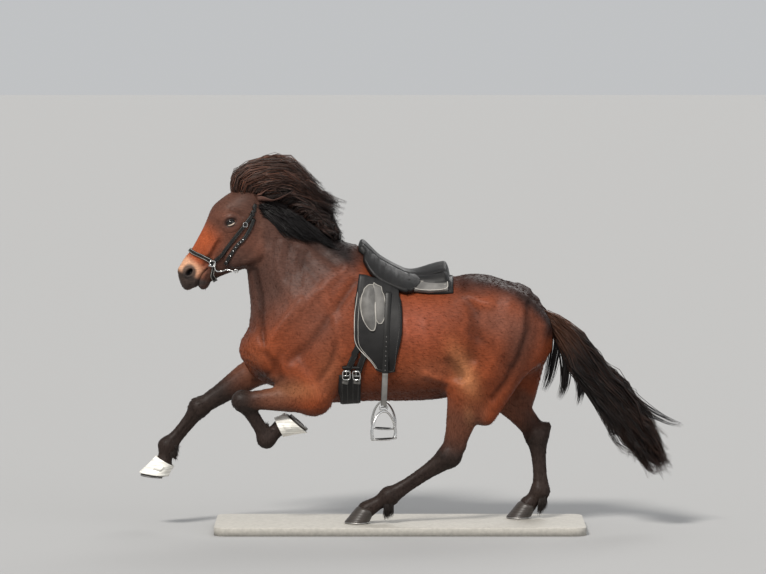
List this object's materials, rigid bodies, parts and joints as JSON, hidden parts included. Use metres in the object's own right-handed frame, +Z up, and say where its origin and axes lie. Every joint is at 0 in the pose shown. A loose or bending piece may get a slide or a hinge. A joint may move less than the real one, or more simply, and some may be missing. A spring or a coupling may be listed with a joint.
{
  "type": "icelandic horse",
  "caption": "Life-size bay Icelandic horse in tölt, saddled and bridled, with flying mane and tail, standing as a still model on a flat display base.",
  "frame": {"origin": "centre of the display base's underside, on the floor", "axes": "+Z up; the horse faces -X; its left side faces -Y, so +Y is to its right"},
  "size_m": [2.5951, 0.6666, 1.7906],
  "materials": {
    "coat": "short bay coat with a soft sheen, black points",
    "tail_hair": "long coarse black hair, brown near the dock",
    "eye": "wet and glossy",
    "hoof": "satin dark horn",
    "shoe_steel": "worn",
    "boot_rubber": "matte white",
    "saddle_leather": "satin black",
    "roll_leather": "satin grey",
    "strap_leather": "satin black",
    "bright_steel": "polished",
    "base": "matte warm grey paint"
  },
  "bodies": {
    "root": {"head": "coat", "neck": "coat", "torso": "coat", "ear_left": "coat", "ear_right": "coat", "foreleg_left": "coat", "foreleg_right": "coat", "hindleg_left": "coat", "hindleg_right": "coat", "pastern_fore_left": "coat", "pastern_fore_right": "coat", "pastern_hind_left": "coat", "pastern_hind_right": "coat", "tail": "tail_hair", "eye_left": "eye", "eye_right": "eye", "hoof_fore_left": "hoof", "hoof_fore_right": "hoof", "hoof_hind_left": "hoof", "hoof_hind_right": "hoof", "shoe_fore_left": "shoe_steel", "shoe_fore_right": "shoe_steel", "shoe_hind_left": "shoe_steel", "shoe_hind_right": "shoe_steel", "bell_boot_left": "boot_rubber", "bell_boot_right": "boot_rubber", "saddle_seat": "saddle_leather", "saddle_panel_left": "saddle_leather", "saddle_panel_right": "saddle_leather", "saddle_flap_left": "saddle_leather", "saddle_flap_right": "saddle_leather", "knee_roll_left": "roll_leather", "knee_roll_right": "roll_leather", "girth": "strap_leather", "noseband": "strap_leather", "billet_left_1": "strap_leather", "billet_left_2": "strap_leather", "billet_right_1": "strap_leather", "billet_right_2": "strap_leather", "stirrup_leather_left": "strap_leather", "stirrup_leather_right": "strap_leather", "cheekpiece_left": "strap_leather", "cheekpiece_right": "strap_leather", "cheek_strap_left": "strap_leather", "cheek_strap_right": "strap_leather", "stirrup_left": "bright_steel", "stirrup_right": "bright_steel", "buckle_left_1": "bright_steel", "buckle_left_2": "bright_steel", "buckle_right_1": "bright_steel", "buckle_right_2": "bright_steel", "bit": "bright_steel", "stand_base": "base"}
  },
  "joints": []
}
